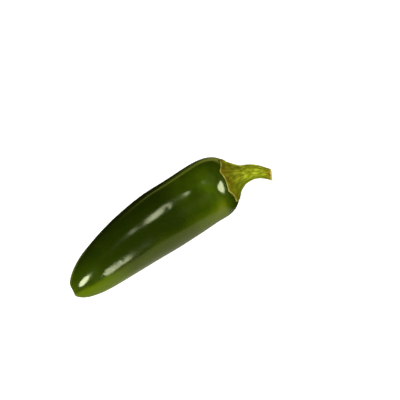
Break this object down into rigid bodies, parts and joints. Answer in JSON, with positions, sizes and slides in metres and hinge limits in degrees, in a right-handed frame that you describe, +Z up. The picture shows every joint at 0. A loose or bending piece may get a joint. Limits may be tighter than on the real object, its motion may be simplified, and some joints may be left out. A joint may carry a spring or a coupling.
{
  "type": "chilli pepper",
  "caption": "Whole green chilli pepper lying on its side: a thick tapering pod with a capping calyx and a short curved stalk.",
  "frame": {"origin": "on the surface that the pepper lies on, at the middle of the fruit's box seen from above", "axes": "+X from the blossom tip towards the stalk, +Y to the side away from the stalk's bend, +Z up"},
  "size_m": [0.0956, 0.0275, 0.0268],
  "materials": {
    "pod_skin": "smooth waxy skin, glossy dark green, paler at the tip",
    "stalk_skin": "dry ribbed yellow-green, satin to matt"
  },
  "bodies": {
    "root": {"pod": "pod_skin", "calyx_and_stalk": "stalk_skin"}
  },
  "joints": []
}
